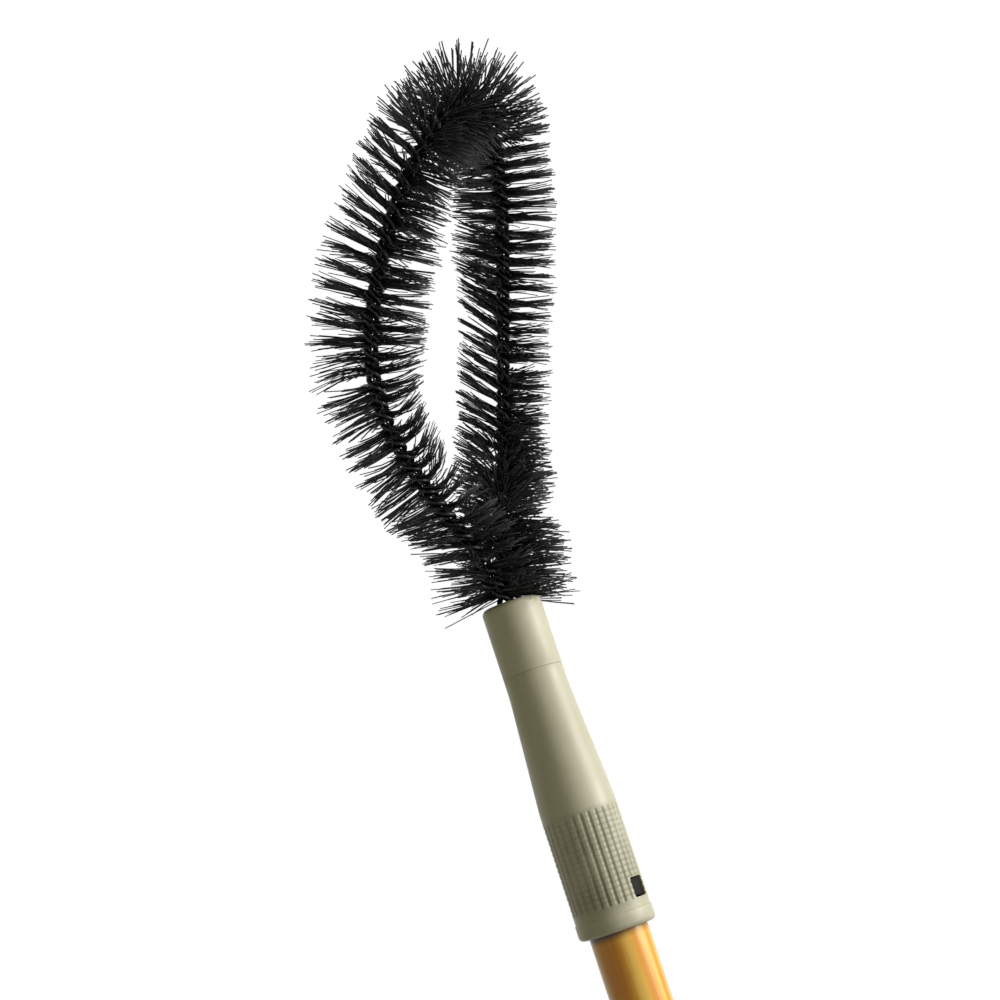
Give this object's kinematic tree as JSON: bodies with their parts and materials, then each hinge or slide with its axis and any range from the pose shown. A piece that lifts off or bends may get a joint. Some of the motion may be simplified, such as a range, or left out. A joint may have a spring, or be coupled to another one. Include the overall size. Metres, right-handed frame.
{
  "type": "duct brush",
  "caption": "Hand brush for ducts: a hooked loop of twisted-in-wire black bristle in a tapered fluted ferrule that locks onto a wooden pole.",
  "frame": {"origin": "centre of the flat butt end of the wooden pole", "axes": "+Z along the pole towards the brush, X across the loop's width, the loop hooks over towards -Y and the ferrule's lock window faces -Y"},
  "size_m": [0.1497, 0.1052, 0.7562],
  "materials": {
    "pole_wood": "clear yellow varnish",
    "beige_plastic": "satin moulded",
    "black_plastic": "satin moulded",
    "wire_steel": "dark drawn",
    "zinc_steel": "zinc plated",
    "bristle": "crimped black filament"
  },
  "bodies": {
    "pole": {"wooden_pole": "pole_wood", "pole_tip": "black_plastic", "tip_pin": "zinc_steel", "tongue_screw": "zinc_steel"},
    "handle": {"ferrule": "beige_plastic", "neck_cap": "beige_plastic", "crimp_sleeve": "zinc_steel", "core_wire_a": "wire_steel", "core_wire_b": "wire_steel", "bristle_band_01": "bristle", "bristle_band_02": "bristle", "bristle_band_03": "bristle", "bristle_band_04": "bristle", "bristle_band_05": "bristle", "bristle_band_06": "bristle", "bristle_band_07": "bristle", "bristle_band_08": "bristle", "bristle_band_09": "bristle", "bristle_band_10": "bristle", "bristle_band_11": "bristle", "bristle_band_12": "bristle"},
    "lock_tongue": {"lock_tongue": "black_plastic"}
  },
  "joints": [
    {"name": "pole_pull", "type": "slide", "parent": "pole", "child": "handle", "axis": [0, 0, 1], "range_m": [0, 0.085], "deforming": ["lock_tongue"]},
    {"name": "lock_press", "type": "hinge", "parent": "pole", "child": "lock_tongue", "pos_m": [0, -0.00922, 0.4398], "axis": [1, 0, 0], "range_deg": [0, 5.2], "stiffness_Nm_per_rad": 0.5}
  ]
}
